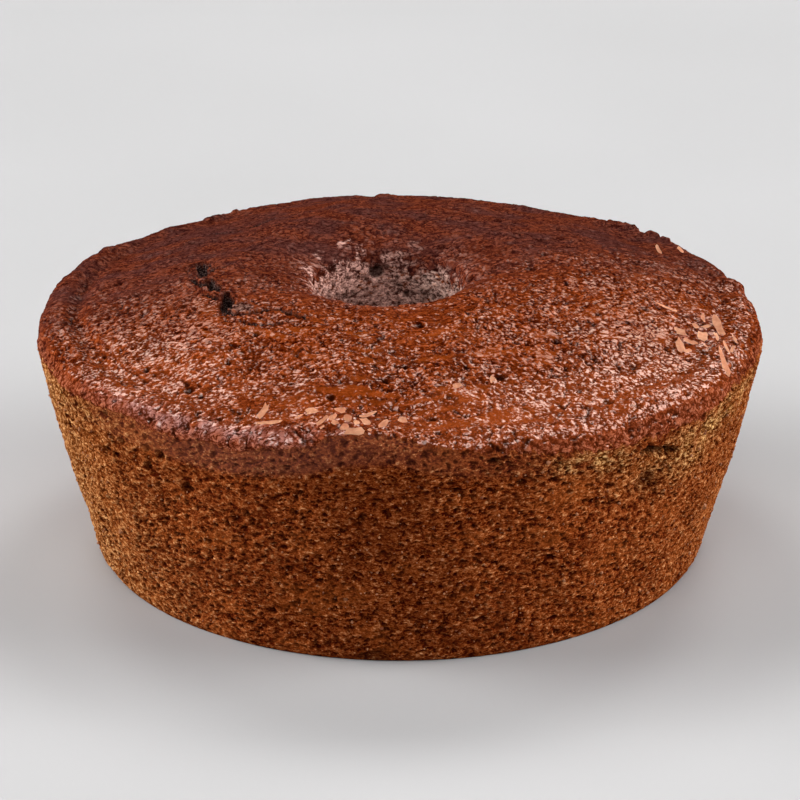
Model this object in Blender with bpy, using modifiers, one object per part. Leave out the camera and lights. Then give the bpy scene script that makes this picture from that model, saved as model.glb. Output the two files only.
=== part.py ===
"""A ring-shaped chocolate cake, baked in a sloping ring tin and turned out uncut.

It is one solid. A turned ring gives the sloping wall, the rolled crust edge, the domed top and
the hole. The oven's unevenness then moves its points, cutters open the splits and chips, and
crust crags and flakes of pale chocolate are fused on. Lengths are metres and +Z is up. Azimuths
are degrees anticlockwise from +X, so -90 is the front of the cake.
"""

import math

import bmesh
import bpy
import numpy as np
from mathutils import Matrix, Vector
from mathutils.bvhtree import BVHTree

# Driving sizes of the section, each a radius and a height.
BASE_EDGE = (0.1030, 0.0022)
RIM = (0.1203, 0.0725)
ROLL_OUTSIDE = (0.1184, 0.0782)
ROLL_TOP = (0.1130, 0.0809)
CREASE = (0.1070, 0.0812)
SHOULDER = (0.0790, 0.0893)
CROWN = (0.0520, 0.0937)
HOLE_LIP = (0.0300, 0.0908)
HOLE_TURN = (0.0254, 0.0866)
HOLE_THROAT = (0.0236, 0.0790)
HOLE_FOOT = (0.0276, 0.0014)
BASE_ROUNDING = 0.0014
WALL_BULGE = 0.0007

# Fineness of the turned mesh.
RING_STEPS = 100
TOP_SPACING = 0.0062
ROLL_SPACING = 0.0036
WALL_ROWS = 10
HOLE_ROWS = 6
BASE_ROWS = 3

# The oven's unevenness.
TOP_STARTS = 0.058
TOP_COMPLETE = 0.079
HOLE_DRIFT = -0.0040
BACK_RISE = (0.0018, 100.0, 28.0)
FRONT_BUMP = (0.0024, -97.0, 9.0)
LEFT_CREASE = (0.0018, 180.0, 34.0)
FRONT_HOLLOW = (0.0015, -97.0, 14.0)
FRONT_HOLLOW_RADIUS = (0.0990, 0.0060)
SIDE_HOLLOW = (0.0026, -49.0, 3.6)
SIDE_HOLLOW_HEIGHT = (0.0520, 0.0085)
BROAD_LUMPS = 0.00042
SMALL_LUMPS = 0.00026
WALL_LUMPS = 0.00035
HOLE_LUMPS = 0.00050

# Splits in the crust: azimuth, radius and half width of each point along them.
SPLITS = {
    "left_split_back": (
        (170.5, 0.0674, 0.0009),
        (173.5, 0.0668, 0.0030),
        (-178.5, 0.0650, 0.0030),
        (-175.8, 0.0645, 0.0009),
    ),
    "left_split_middle": (
        (-172.2, 0.0642, 0.0010),
        (-169.0, 0.0637, 0.0026),
        (-164.5, 0.0632, 0.0026),
        (-160.5, 0.0626, 0.0010),
    ),
    "left_split_front": (
        (-158.0, 0.0608, 0.0012),
        (-153.5, 0.0623, 0.0026),
        (-149.5, 0.0646, 0.0026),
        (-146.2, 0.0690, 0.0012),
    ),
    "left_crack": (
        (-137.6, 0.0606, 0.0010),
        (-131.8, 0.0556, 0.0010),
        (-126.0, 0.0556, 0.0013),
        (-121.5, 0.0564, 0.0008),
    ),
    "back_crease": (
        (120.0, 0.0775, 0.0009),
        (128.0, 0.0727, 0.0015),
        (137.0, 0.0740, 0.0015),
        (145.0, 0.0845, 0.0008),
    ),
}

# Openings in the wall: azimuth, height, half width, half height and depth.
WALL_OPENINGS = (
    (-50.2, 0.0660, 0.0038, 0.0015, 0.0042),
    (-47.6, 0.0646, 0.0036, 0.0016, 0.0046),
    (-45.0, 0.0628, 0.0030, 0.0014, 0.0036),
    (-76.5, 0.0738, 0.0020, 0.0010, 0.0026),
    (-94.5, 0.0006, 0.0056, 0.0032, 0.0030),
    (-48.0, 0.0005, 0.0030, 0.0014, 0.0024),
    (-131.0, 0.0600, 0.0020, 0.0015, 0.0024),
    (-124.0, 0.0560, 0.0022, 0.0016, 0.0026),
)

# Crags on the rim: azimuth, radius, half width and height.
RIM_CRAGS = (
    (46.2, 0.1130, 0.0044, 0.0011),
    (44.2, 0.1136, 0.0034, 0.0018),
    (38.4, 0.1140, 0.0028, 0.0015),
    (35.1, 0.1142, 0.0020, 0.0014),
    (12.2, 0.1168, 0.0030, 0.0011),
    (93.0, 0.1110, 0.0034, 0.0010),
    (121.9, 0.1130, 0.0013, 0.0009),
    (126.6, 0.1126, 0.0036, 0.0009),
    (153.5, 0.1128, 0.0028, 0.0013),
)

# How far the rim stands above or below the turned form: azimuth and height.
RIM_RISE = (
    (-180.0, 0.0009),
    (-174.0, 0.0005),
    (-165.0, 0.0),
    (-10.0, 0.0),
    (4.0, 0.0002),
    (8.0, -0.0008),
    (12.0, 0.0),
    (16.0, -0.0010),
    (20.0, -0.0002),
    (30.0, 0.0),
    (40.0, 0.0005),
    (47.0, 0.0008),
    (52.0, -0.0003),
    (60.0, -0.0009),
    (67.0, -0.0008),
    (77.0, 0.0),
    (85.0, -0.0004),
    (96.0, -0.0008),
    (104.0, -0.0001),
    (109.0, -0.0005),
    (122.0, -0.0005),
    (131.0, -0.0012),
    (138.0, -0.0009),
    (143.0, 0.0),
    (149.0, 0.0009),
    (160.0, 0.0006),
    (180.0, 0.0009),
)

# Large flakes: azimuth, radius, length, width and turn from the ring's direction.
LARGE_FLAKES = (
    (-15.0, 0.0886, 0.0079, 0.0020, 89.0),
    (-22.0, 0.0965, 0.0044, 0.0030, 105.0),
    (-27.2, 0.1001, 0.0072, 0.0026, 33.0),
    (-28.1, 0.1032, 0.0024, 0.0014, 148.0),
    (-24.2, 0.1015, 0.0043, 0.0038, 77.0),
    (-20.1, 0.1034, 0.0038, 0.0036, 88.0),
    (-17.4, 0.0998, 0.0026, 0.0018, 61.0),
    (-15.0, 0.1071, 0.0095, 0.0026, 32.0),
    (-18.9, 0.1078, 0.0055, 0.0012, 31.0),
    (-23.0, 0.1129, 0.0055, 0.0010, 43.0),
    (-22.6, 0.1145, 0.0040, 0.0012, 8.0),
    (-18.8, 0.1132, 0.0038, 0.0013, 39.0),
    (-27.1, 0.1146, 0.0105, 0.0020, 45.0),
    (-23.7, 0.1063, 0.0023, 0.0010, 69.0),
    (-13.2, 0.1009, 0.0036, 0.0014, 17.0),
    (-16.1, 0.1029, 0.0036, 0.0012, 136.0),
    (25.6, 0.0988, 0.0060, 0.0014, 171.0),
    (26.5, 0.1090, 0.0036, 0.0014, 4.0),
    (-113.0, 0.1059, 0.0072, 0.0022, 95.0),
    (-105.0, 0.1025, 0.0040, 0.0034, 23.0),
    (-100.3, 0.1005, 0.0034, 0.0034, 19.0),
    (-101.7, 0.1134, 0.0037, 0.0013, 55.0),
    (-100.3, 0.1119, 0.0024, 0.0026, 5.0),
    (-99.7, 0.1139, 0.0024, 0.0018, 176.0),
    (-98.0, 0.1119, 0.0024, 0.0026, 173.0),
    (-95.7, 0.1014, 0.0066, 0.0017, 40.0),
    (-96.6, 0.1132, 0.0017, 0.0024, 13.0),
    (-95.3, 0.1122, 0.0027, 0.0028, 29.0),
    (-96.7, 0.1166, 0.0068, 0.0027, 7.0),
    (-98.2, 0.1154, 0.0026, 0.0022, 177.0),
    (-92.6, 0.1119, 0.0032, 0.0020, 40.0),
    (-89.5, 0.1056, 0.0027, 0.0026, 27.0),
    (-106.2, 0.1081, 0.0032, 0.0014, 60.0),
    (-110.2, 0.1140, 0.0082, 0.0018, 16.0),
    (-101.5, 0.1156, 0.0016, 0.0010, 39.0),
    (-94.5, 0.1153, 0.0013, 0.0010, 167.0),
)

# Small flakes: centre azimuth, centre radius, their two spreads and the count.
FLAKE_DRIFTS = ((-60.0, 0.0980, 26.0, 0.0100, 3),)
FLAKE_THICKNESS = 0.0008
FLAKE_SEED = 11
CRAG_UNEVENNESS = 0.20


def clear_scene():
    for obj in list(bpy.data.objects):
        bpy.data.objects.remove(obj)


def collection(name):
    made = bpy.data.collections.new(name)
    bpy.context.scene.collection.children.link(made)
    return made


def material(name, colour, roughness):
    made = bpy.data.materials.new(name)
    made.use_nodes = True
    shader = made.node_tree.nodes["Principled BSDF"]
    shader.inputs["Base Color"].default_value = (*colour, 1.0)
    shader.inputs["Roughness"].default_value = roughness
    shader.inputs["Metallic"].default_value = 0.0
    return made


def polar(azimuth, radius, height):
    """The point at an azimuth in degrees, a radius and a height."""
    angle = math.radians(azimuth)
    return Vector((radius * math.cos(angle), radius * math.sin(angle), height))


def smooth_step(start, end, value):
    share = np.clip((value - start) / (end - start), 0.0, 1.0)
    return share * share * (3.0 - 2.0 * share)


def bell(value, centre, width):
    return np.exp(-(((value - centre) / width) ** 2))


def turn_bell(azimuth, centre, width):
    """A bell in azimuth that wraps round the circle."""
    apart = (azimuth - centre + 180.0) % 360.0 - 180.0
    return np.exp(-((apart / width) ** 2))


def waves(points, seed, shortest, longest, count=14):
    """A smooth random field with a spread of about one, from waves of the given lengths."""
    draw = np.random.RandomState(seed)
    total = np.zeros(len(points))
    for _ in range(count):
        direction = draw.normal(size=3)
        direction /= np.linalg.norm(direction)
        length = draw.uniform(shortest, longest)
        phase = draw.uniform(0.0, 2.0 * math.pi)
        total += np.cos(points @ direction * (2.0 * math.pi / length) + phase)
    return total * math.sqrt(2.0 / count)


def spline(points, spacing):
    """Evenly spaced points on the smooth curve through a few given ones, both ends included."""
    line = [np.array(p) for p in points]
    line = [2 * line[0] - line[1], *line, 2 * line[-1] - line[-2]]
    fine = []
    for a, b, c, d in zip(line, line[1:], line[2:], line[3:]):
        for t in np.linspace(0.0, 1.0, 24, endpoint=False):
            slope = (c - a) * t + (2 * a - 5 * b + 4 * c - d) * t**2
            fine.append(b + 0.5 * (slope + (3 * b - a - 3 * c + d) * t**3))
    fine = np.array([*fine, line[-2]])
    length = np.concatenate([[0.0], np.cumsum(np.linalg.norm(np.diff(fine, axis=0), axis=1))])
    marks = np.linspace(0.0, length[-1], int(round(length[-1] / spacing)) + 1)
    return np.stack([np.interp(marks, length, fine[:, k]) for k in range(fine.shape[1])], axis=1)


def section():
    """The ring's section: over the top, down the wall, in along the base and up the hole."""
    inner = [HOLE_THROAT, HOLE_TURN, HOLE_LIP, CROWN, SHOULDER, CREASE]
    roll = [CREASE, ROLL_TOP, ROLL_OUTSIDE, RIM]
    points = list(spline(inner, TOP_SPACING))[:-1] + list(spline(roll, ROLL_SPACING))
    for share in np.arange(1, WALL_ROWS + 1) / WALL_ROWS:
        radius = RIM[0] + (BASE_EDGE[0] - RIM[0]) * share
        height = RIM[1] + (BASE_EDGE[1] - RIM[1]) * share
        points.append((radius + WALL_BULGE * math.sin(math.pi * share), height))
    foot = HOLE_FOOT[0] + BASE_ROUNDING
    for radius in np.linspace(BASE_EDGE[0] - BASE_ROUNDING, foot, BASE_ROWS):
        points.append((radius, 0.0))
    for share in np.arange(HOLE_ROWS) / HOLE_ROWS:
        radius = HOLE_FOOT[0] + (HOLE_THROAT[0] - HOLE_FOOT[0]) * share
        height = HOLE_FOOT[1] + (HOLE_THROAT[1] - HOLE_FOOT[1]) * share
        points.append((radius, height))
    return points


def turned_ring():
    """The section turned about Z, as a closed mesh."""
    points = section()
    mesh = bpy.data.meshes.new("section")
    edges = [(i, (i + 1) % len(points)) for i in range(len(points))]
    mesh.from_pydata([(radius, 0.0, height) for radius, height in points], edges, [])
    profile = bpy.data.objects.new("section", mesh)
    bpy.context.scene.collection.objects.link(profile)
    screw = profile.modifiers.new("turn", "SCREW")
    screw.axis = "Z"
    screw.steps = RING_STEPS
    screw.render_steps = RING_STEPS
    screw.use_merge_vertices = True
    screw.merge_threshold = 0.00001
    ring = evaluated_mesh(profile)
    bpy.data.objects.remove(profile)
    return ring


def evaluated_mesh(obj):
    graph = bpy.context.evaluated_depsgraph_get()
    return bpy.data.meshes.new_from_object(obj.evaluated_get(graph))


def lift(azimuth, radius, points):
    """How far the top rises or sinks."""
    near_roll = smooth_step(0.1010, 0.1110, radius)
    rise = BACK_RISE[0] * turn_bell(azimuth, *BACK_RISE[1:])
    rise += FRONT_BUMP[0] * turn_bell(azimuth, *FRONT_BUMP[1:]) * near_roll
    crease = bell(radius, CREASE[0], 0.0036)
    rise -= LEFT_CREASE[0] * turn_bell(azimuth, *LEFT_CREASE[1:]) * crease
    hollow = turn_bell(azimuth, *FRONT_HOLLOW[1:]) * bell(radius, *FRONT_HOLLOW_RADIUS)
    rise -= FRONT_HOLLOW[0] * hollow
    rise += np.interp(azimuth, *zip(*RIM_RISE)) * smooth_step(0.0980, 0.1100, radius)
    rise += BROAD_LUMPS * waves(points, 3, 0.030, 0.065)
    return rise + SMALL_LUMPS * waves(points, 4, 0.013, 0.022)


def push(azimuth, radius, height, points):
    """How far the walls stand out from the axis, or in where it is negative."""
    outside = radius > 0.060
    broad = WALL_LUMPS * waves(points, 5, 0.020, 0.050)
    hollow = turn_bell(azimuth, *SIDE_HOLLOW[1:]) * bell(height, *SIDE_HOLLOW_HEIGHT)
    outer = broad - SIDE_HOLLOW[0] * hollow
    inner = HOLE_LUMPS * waves(points, 6, 0.012, 0.030)
    return np.where(outside, outer, inner)


def bake_unevenly(mesh):
    """Moves the turned ring's points: the top up and down, the walls in and out."""
    points = np.empty(len(mesh.vertices) * 3)
    mesh.vertices.foreach_get("co", points)
    points = points.reshape(-1, 3)
    radius = np.hypot(points[:, 0], points[:, 1])
    azimuth = np.degrees(np.arctan2(points[:, 1], points[:, 0]))
    height = points[:, 2].copy()
    on_top = smooth_step(TOP_STARTS, TOP_COMPLETE, height)
    on_wall = smooth_step(0.0, 0.012, height) * (1.0 - on_top)
    near_hole = 1.0 - smooth_step(0.032, 0.080, radius)
    points[:, 2] += on_top * lift(azimuth, radius, points)
    grown = 1.0 + on_wall * push(azimuth, radius, height, points) / radius
    points[:, :2] *= grown[:, None]
    points[:, 0] += HOLE_DRIFT * near_hole * smooth_step(0.020, 0.085, height)
    mesh.vertices.foreach_set("co", points.ravel())
    mesh.update()


def surface_tree(mesh):
    corners = [v.co.copy() for v in mesh.vertices]
    return BVHTree.FromPolygons(corners, [tuple(p.vertices) for p in mesh.polygons])


def on_crust(tree, azimuth, radius):
    """The point and normal of the crust straight below a place on the top."""
    down = Vector((0.0, 0.0, -1.0))
    point, normal, _, _ = tree.ray_cast(polar(azimuth, radius, 0.2), down)
    return point, normal


def on_wall(tree, azimuth, height):
    """The point of the outer wall at an azimuth and a height."""
    outside = polar(azimuth, 0.2, height)
    inward = -polar(azimuth, 1.0, 0.0)
    return tree.ray_cast(outside, inward)[0]


def groove(name, split, tree, home):
    """A tapering tube laid along a split in the crust, half sunk, as a mesh that cuts."""
    curve = bpy.data.curves.new(name, "CURVE")
    curve.dimensions = "3D"
    curve.bevel_depth = 1.0
    curve.bevel_resolution = 1
    curve.use_fill_caps = True
    line = curve.splines.new("POLY")
    places = spline([(*polar(a, r, 0.0).xy, width) for a, r, width in split], 0.0042)
    line.points.add(len(places) - 1)
    for point, (x, y, width) in zip(line.points, places):
        azimuth = math.degrees(math.atan2(y, x))
        surface, _ = on_crust(tree, azimuth, math.hypot(x, y))
        point.co = (x, y, surface.z - 0.3 * width, 1.0)
        point.radius = width
    tube = bpy.data.objects.new(name, curve)
    bpy.context.scene.collection.objects.link(tube)
    mesh = evaluated_mesh(tube)
    bpy.data.objects.remove(tube)
    weld(mesh)
    return helper(name, mesh, home)


def weld(mesh):
    shape = bmesh.new()
    shape.from_mesh(mesh)
    bmesh.ops.remove_doubles(shape, verts=shape.verts, dist=0.00001)
    bmesh.ops.recalc_face_normals(shape, faces=shape.faces)
    bmesh.ops.triangulate(shape, faces=shape.faces)
    shape.to_mesh(mesh)
    shape.free()


def helper(name, mesh, home):
    """An object that cuts or joins and is never seen itself."""
    obj = bpy.data.objects.new(name, mesh)
    obj.hide_render = True
    obj.display_type = "WIRE"
    home.objects.link(obj)
    return obj


def rough_ball(name, matrix, draw, unevenness, fineness, home):
    """A small ball with uneven corners, placed and stretched by a matrix."""
    shape = bmesh.new()
    bmesh.ops.create_icosphere(shape, subdivisions=fineness, radius=1.0)
    for corner in shape.verts:
        corner.co *= 1.0 + draw.uniform(-unevenness, unevenness)
    bmesh.ops.transform(shape, matrix=matrix, verts=shape.verts)
    mesh = bpy.data.meshes.new(name)
    shape.to_mesh(mesh)
    shape.free()
    return helper(name, mesh, home)


def placing(point, azimuth, sizes):
    """Stretches by three sizes, along the ring, outwards and up, and moves to a point."""
    turn = Matrix.Rotation(math.radians(azimuth + 90.0), 4, "Z")
    return Matrix.Translation(point) @ turn @ Matrix.Diagonal((*sizes, 1.0))


def make_cutters(tree, home):
    draw = np.random.RandomState(2)
    for name, split in SPLITS.items():
        groove(name, split, tree, home)
    for number, (azimuth, height, half_width, half_height, depth) in enumerate(WALL_OPENINGS):
        point = on_wall(tree, azimuth, max(height, 0.001))
        point.z = height
        matrix = placing(point, azimuth, (half_width, depth, half_height))
        rough_ball(f"opening_{number}", matrix, draw, 0.12, 2, home)


def make_crags(tree, home):
    draw = np.random.RandomState(7)
    for number, (azimuth, radius, half_width, height) in enumerate(RIM_CRAGS):
        point, _ = on_crust(tree, azimuth, radius)
        matrix = placing(point, azimuth, (half_width, 0.8 * half_width, height))
        rough_ball(f"crag_{number}", matrix, draw, CRAG_UNEVENNESS, 1, home)


def flake_mesh(name, length, width, draw):
    """A thin curled chip: a tapering strip, bent along its length, with both faces alike."""
    shape = bmesh.new()
    bmesh.ops.create_grid(shape, x_segments=3, y_segments=1, size=0.5)
    bmesh.ops.triangulate(shape, faces=shape.faces)
    curl = draw.uniform(0.10, 0.28)
    skew = draw.uniform(-0.25, 0.25)
    for corner in shape.verts:
        along, across = corner.co.x, corner.co.y
        narrowing = 1.0 - 1.6 * along**2 + draw.uniform(-0.12, 0.12)
        corner.co.x = length * (along + skew * across)
        corner.co.y = width * across * narrowing
        corner.co.z = curl * length * (along**2 - 0.06)
    faces = list(shape.faces)
    bmesh.ops.solidify(shape, geom=faces, thickness=FLAKE_THICKNESS)
    bmesh.ops.recalc_face_normals(shape, faces=shape.faces)
    mesh = bpy.data.meshes.new(name)
    shape.to_mesh(mesh)
    shape.free()
    return mesh


def lay_flake(name, place, size, turn, tree, draw, home):
    """Lays one flake on the crust, a little sunk and tilted."""
    point, normal = on_crust(tree, *place)
    mesh = flake_mesh(name, *size, draw)
    along_ring = Matrix.Rotation(math.radians(place[0] + 90.0 + turn), 4, "Z")
    upright = Vector((0.0, 0.0, 1.0)).rotation_difference(normal).to_matrix().to_4x4()
    tilt = Matrix.Rotation(math.radians(draw.uniform(-9.0, 9.0)), 4, "X")
    matrix = Matrix.Translation(point + normal * 0.0002) @ upright @ along_ring @ tilt
    mesh.transform(matrix)
    return helper(name, mesh, home)


def make_flakes(tree, home):
    draw = np.random.RandomState(FLAKE_SEED)
    for number, (azimuth, radius, length, width, turn) in enumerate(LARGE_FLAKES):
        lay_flake(f"flake_{number}", (azimuth, radius), (length, width), turn, tree, draw, home)
    for drift, (azimuth, radius, sweep, spread, count) in enumerate(FLAKE_DRIFTS):
        for number in range(count):
            place = (azimuth + draw.uniform(-sweep, sweep), radius + draw.uniform(-spread, spread))
            length = draw.uniform(0.0022, 0.0042)
            size = (length, length * draw.uniform(0.5, 0.8))
            turn = draw.uniform(0.0, 180.0)
            lay_flake(f"chip_{drift}_{number}", place, size, turn, tree, draw, home)


def combine(cake, operation, helpers):
    """Cuts the helpers from the cake or joins them to it, for good, and removes them."""
    step = cake.modifiers.new(operation.lower(), "BOOLEAN")
    step.operation = operation
    step.operand_type = "COLLECTION"
    step.collection = helpers
    step.solver = "EXACT"
    step.use_self = operation == "UNION"
    cake.data = evaluated_mesh(cake)
    cake.modifiers.remove(step)
    for obj in list(helpers.objects):
        bpy.data.objects.remove(obj)
    bpy.data.collections.remove(helpers)


def drop_scraps(mesh):
    """Keeps the largest connected piece of the mesh."""
    shape = bmesh.new()
    shape.from_mesh(mesh)
    left = set(shape.verts)
    pieces = []
    while left:
        front = [left.pop()]
        piece = set(front)
        while front:
            corner = front.pop()
            near = [edge.other_vert(corner) for edge in corner.link_edges]
            fresh = [v for v in near if v in left]
            left.difference_update(fresh)
            piece.update(fresh)
            front.extend(fresh)
        pieces.append(piece)
    pieces.sort(key=len)
    scraps = [v for piece in pieces[:-1] for v in piece]
    bmesh.ops.delete(shape, geom=scraps, context="VERTS")
    bmesh.ops.triangulate(shape, faces=shape.faces)
    shape.to_mesh(mesh)
    shape.free()


def centre(mesh):
    """Moves the cake so that its box stands centred on the origin."""
    points = np.empty(len(mesh.vertices) * 3)
    mesh.vertices.foreach_get("co", points)
    points = points.reshape(-1, 3)
    low, high = points.min(axis=0), points.max(axis=0)
    points -= ((low[0] + high[0]) / 2, (low[1] + high[1]) / 2, low[2])
    mesh.vertices.foreach_set("co", points.ravel())
    mesh.update()


def main():
    clear_scene()
    parts = collection("chocolate_cake")
    mesh = turned_ring()
    bake_unevenly(mesh)
    weld(mesh)
    tree = surface_tree(mesh)
    cake = bpy.data.objects.new("cake", mesh)
    parts.objects.link(cake)
    cutters = collection("cutters")
    make_cutters(tree, cutters)
    combine(cake, "DIFFERENCE", cutters)
    toppings = collection("crags_and_flakes")
    make_crags(tree, toppings)
    make_flakes(tree, toppings)
    combine(cake, "UNION", toppings)
    drop_scraps(cake.data)
    centre(cake.data)
    cake.data.name = "cake"
    cake.data.materials.clear()
    cake.data.materials.append(material("baked_chocolate", (0.105, 0.030, 0.011), 0.62))


main()
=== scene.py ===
"""The looks of a ring-shaped chocolate cake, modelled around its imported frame.

The cake's skin is one fine surface. It has the frame's form, from the same sizes, and on it the
crust's wrinkles and pits, the crumb's grains and pores, the splits, the openings and the crags.
It is shared out to five pieces: the crust in front and behind, the wall's crumb in front and
behind, and the crumb of the hole and the base. Flakes of pale chocolate and loose grains are
pieces of their own. Lengths are metres and +Z is up. Azimuths are degrees anticlockwise from +X,
so -90 is the front.
"""

import math

import bmesh
import bpy
import numpy as np
from mathutils import Matrix, Vector
from mathutils.bvhtree import BVHTree
from numpy.random import RandomState

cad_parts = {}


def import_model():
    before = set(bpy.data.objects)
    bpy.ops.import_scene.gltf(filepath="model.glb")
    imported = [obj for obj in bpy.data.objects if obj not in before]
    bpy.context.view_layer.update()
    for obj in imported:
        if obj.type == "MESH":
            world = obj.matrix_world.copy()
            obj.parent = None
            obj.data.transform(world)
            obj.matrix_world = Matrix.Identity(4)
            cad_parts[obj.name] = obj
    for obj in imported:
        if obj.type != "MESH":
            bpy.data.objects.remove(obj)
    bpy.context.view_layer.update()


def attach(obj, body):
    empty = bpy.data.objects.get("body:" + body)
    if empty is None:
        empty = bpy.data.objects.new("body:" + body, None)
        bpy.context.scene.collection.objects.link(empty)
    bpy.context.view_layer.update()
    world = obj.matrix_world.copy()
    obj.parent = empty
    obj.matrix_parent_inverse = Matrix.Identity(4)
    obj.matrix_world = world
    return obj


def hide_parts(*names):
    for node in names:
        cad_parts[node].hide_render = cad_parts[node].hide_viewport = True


MM = 0.001

# The section, as in the frame: each a radius and a height.
BASE_EDGE = (0.103, 0.0022)
RIM = (0.1203, 0.0725)
ROLL_OUTSIDE = (0.1184, 0.0782)
ROLL_TOP = (0.113, 0.0809)
CREASE = (0.107, 0.0812)
SHOULDER = (0.079, 0.0893)
CROWN = (0.052, 0.0937)
HOLE_LIP = (0.03, 0.0908)
HOLE_TURN = (0.0254, 0.0866)
HOLE_THROAT = (0.0236, 0.079)
HOLE_FOOT = (0.0276, 0.0014)
BASE_ROUNDING = 0.0014
WALL_BULGE = 0.0007

# The unevenness of the form, as in the frame: azimuth, width and height of its rises and hollows.
BACK_RISE = (100, 28, 0.0018)
FRONT_BUMP = (-97, 9.0, 0.0024)
LEFT_CREASE = (180, 34, 0.0018)
FRONT_HOLLOW = (-97, 14, 0.0015)
SIDE_HOLLOW = (-49, 3.6, 0.0026)

# Where they lie: a middle and a width.
FRONT_HOLLOW_RADIUS = (0.099, 0.006)
SIDE_HOLLOW_HEIGHT = (0.052, 0.0085)
CREASE_RADIUS = (CREASE[0], 0.0036)

# Where each movement starts and where it is complete.
TOP_HEIGHTS = (0.058, 0.079)
WALL_HEIGHTS = (0.0, 0.012)
ROLL_RADII = (0.101, 0.111)
HOLE_RADII = (0.032, 0.08)
DRIFT_HEIGHTS = (0.02, 0.085)
HOLE_DRIFT = -0.004
WALLS_PART = 0.06

# Lumps of the form: their height, seed, and shortest and longest wave.
BROAD_LUMPS = (0.00042, 3, 0.03, 0.065)
SMALL_LUMPS = (0.00026, 4, 0.013, 0.022)
WALL_LUMPS = (0.00035, 5, 0.02, 0.05)
HOLE_LUMPS = (0.0005, 6, 0.012, 0.03)
WAVE_COUNT = 14

# The noise: its gain, and the seeds of its slopes and of the cells' spots.
NOISE_GAIN = 1.7
SLOPE_SEED = 99
JITTER_SEED = 98

# The tables up to the large flakes give an azimuth first, and lengths in millimetres.

# Splits in the crust: how deep, and the azimuth, radius and half width of points along them.
SPLITS = (
    (4.2, (170.5, 67.4, 0.8), (173.5, 66.8, 3.8), (177.5, 66, 4.3), (-178.5, 65, 3.8), (-175.8, 64.5, 0.8)),
    (3, (-174, 68.2, 1), (-170.5, 67.4, 1.1)),
    (4.6, (-172.2, 64.2, 1), (-169, 63.7, 3.1), (-164.5, 63.2, 3.1), (-160.5, 62.6, 1)),
    (2.2, (-160.3, 67.6, 0.8), (-155.8, 64.5, 0.9)),
    (5, (-158, 60.8, 1.2), (-153.5, 62.3, 3), (-149.5, 64.6, 3), (-146.2, 69, 1.2)),
    (2.6, (-147, 66.8, 1.2), (-140.8, 66.4, 1), (-137.6, 60.6, 1.2)),
    (2.8, (-137.6, 60.6, 1.3), (-134.5, 55, 1), (-131.8, 55.6, 1.2), (-126, 55.6, 1.6), (-121.5, 56.4, 0.8)),
    (1.6, (-137.4, 68.6, 0.7), (-132.6, 67.4, 1), (-129.3, 65.2, 0.9), (-126.5, 62.2, 0.5)),
    (2.6, (120, 77.5, 0.9), (128, 72.7, 1.5), (137, 74, 1.5), (145, 84.5, 0.8)),
)

# Openings in the wall: azimuth, height, half width, half height and depth.
WALL_OPENINGS = (
    (-50.2, 66, 3.8, 1.5, 4.2), (-47.6, 64.6, 3.6, 1.6, 4.6), (-45, 62.8, 3, 1.4, 3.6),
    (-48.5, 53.5, 3.4, 4.8, 1.2), (-76.5, 73.8, 2, 1, 2.6), (-94.5, 0.6, 5.6, 3.2, 2),
    (-48, 0.5, 3, 1.4, 2), (-131, 60, 2, 1.5, 2.4), (-124, 56, 2.2, 1.6, 2.6),
    (-128, 66, 1.5, 1.8, 2.2), (-136.5, 65.5, 1.6, 1.4, 2),
)

# Pits in the wall of the hole: azimuth, radius, height and reach.
HOLE_PITS = ((107.4, 25.8, 83.7, 2.7), (87.6, 26.2, 85.6, 1.4), (85, 24.4, 75.7, 1.9))

# Where the glossy crust ends: azimuth, and how far above the widest ring along the section.
CRUST_EDGE = (
    (-180, 0), (-154, 1.4), (-141, 2), (-133, 2.4), (-121, 1.4), (-114, 1.9), (-104.5, 3.8),
    (-98, 7.2), (-91, 9.1), (-81.5, 4.8), (-72.5, 2.4), (-60, 0.5), (-47, -2), (-40, -1.8),
    (-28, 2), (20, 1), (70, 2), (130, -1), (180, 0),
)

# Crags on the rim: azimuth, radius, half width and height.
RIM_CRAGS = (
    (46.2, 113, 4.4, 1.1), (44.2, 113.6, 3.4, 1.8), (38.4, 114, 2.8, 1.5),
    (35.1, 114.2, 2, 1.4), (12.2, 116.8, 3, 1.1), (93, 111, 3.4, 1), (121.9, 113, 1.3, 0.9),
    (126.6, 112.6, 3.6, 0.9), (153.5, 112.8, 2.8, 1.3),
)

# How far the rim stands above or below the turned form: azimuth and height.
RIM_RISE = (
    (-180, 0.9), (-174, 0.5), (-165, 0), (-10, 0), (4, 0.2), (8, -0.8), (12, 0), (16, -1),
    (20, -0.2), (30, 0), (40, 0.5), (47, 0.8), (52, -0.3), (60, -0.9), (67, -0.8), (77, 0),
    (85, -0.4), (96, -0.8), (104, -0.1), (109, -0.5), (122, -0.5), (131, -1.2), (138, -0.9),
    (143, 0), (149, 0.9), (160, 0.6), (180, 0.9),
)

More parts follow.
